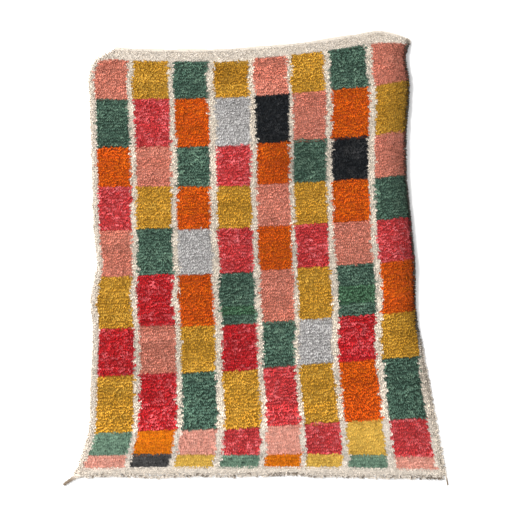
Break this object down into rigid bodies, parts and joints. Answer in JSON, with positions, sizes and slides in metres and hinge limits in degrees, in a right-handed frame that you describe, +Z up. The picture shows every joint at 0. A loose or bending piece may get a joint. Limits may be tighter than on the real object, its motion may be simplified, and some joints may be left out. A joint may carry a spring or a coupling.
{
  "type": "berber rug",
  "caption": "Hand-knotted wool pile rug with columns of plain coloured blocks between cream stripes, a cream border, a woven hem and a short knotted fringe, laid out on the floor.",
  "frame": {"origin": "on the floor, under the middle of the whole rug", "axes": "+X across the rug to its right side, +Y up its length from the fringe to the hem, +Z up from the floor"},
  "size_m": [1.8516, 2.3102, 0.0605],
  "materials": {
    "wool_pile": "matte",
    "cream_wool": "matte"
  },
  "bodies": {
    "root": {"rug_pile": "wool_pile", "left_side_locks": "cream_wool", "right_side_locks": "cream_wool", "lower_fringe": "cream_wool"}
  },
  "joints": []
}
